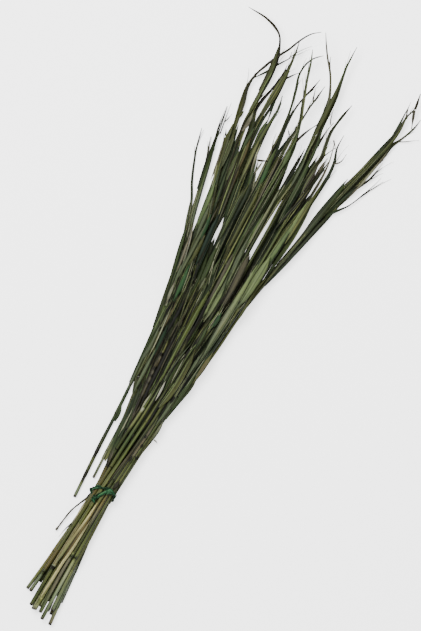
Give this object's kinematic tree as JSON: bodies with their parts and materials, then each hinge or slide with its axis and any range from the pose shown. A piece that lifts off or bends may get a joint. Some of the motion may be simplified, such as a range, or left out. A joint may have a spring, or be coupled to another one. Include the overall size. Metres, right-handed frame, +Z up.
{
  "type": "bunch of reeds",
  "caption": "Bunch of dried green reeds lying down, jointed canes tied near their cut ends with green twine and fanning out into long narrow leaves.",
  "frame": {"origin": "on the surface that the bunch lies on, under the middle of its bounding box", "axes": "+Y along the bunch from the cut ends to the leaf tips, +X across it to the side of the stray leaves, +Z up from the surface"},
  "size_m": [0.2562, 0.8192, 0.0456],
  "materials": {
    "cane": "dry satin skin, olive to straw with dark joints",
    "leaf": "matte ribbed leaf, olive to grey green",
    "stalk": "matte, withered",
    "twine": "matte twisted fibre, emerald green"
  },
  "bodies": {
    "root": {"cane_01": "cane", "cane_02": "cane", "cane_03": "cane", "cane_04": "cane", "cane_05": "cane", "cane_06": "cane", "cane_07": "cane", "cane_08": "cane", "cane_09": "cane", "cane_10": "cane", "cane_11": "cane", "cane_12": "cane", "cane_13": "cane", "cane_14": "cane", "cane_15": "cane", "cane_16": "cane", "cane_17": "cane", "cane_18": "cane", "cane_19": "cane", "cane_20": "cane", "cane_21": "cane", "leaf_01": "leaf", "leaf_02": "leaf", "leaf_03": "leaf", "leaf_04": "leaf", "leaf_05": "leaf", "leaf_06": "leaf", "leaf_07": "leaf", "leaf_08": "leaf", "leaf_09": "leaf", "leaf_10": "leaf", "leaf_11": "leaf", "leaf_12": "leaf", "leaf_13": "leaf", "leaf_14": "leaf", "leaf_15": "leaf", "leaf_16": "leaf", "leaf_17": "leaf", "leaf_18": "leaf", "leaf_19": "leaf", "leaf_20": "leaf", "leaf_21": "leaf", "leaf_22": "leaf", "leaf_23": "leaf", "leaf_24": "leaf", "leaf_25": "leaf", "leaf_26": "leaf", "leaf_27": "leaf", "leaf_28": "leaf", "leaf_29": "leaf", "leaf_30": "leaf", "leaf_31": "leaf", "leaf_32": "leaf", "leaf_33": "leaf", "leaf_34": "leaf", "leaf_35": "leaf", "leaf_36": "leaf", "leaf_37": "leaf", "dry_stalk": "stalk", "twine_tie": "twine"}
  },
  "joints": []
}
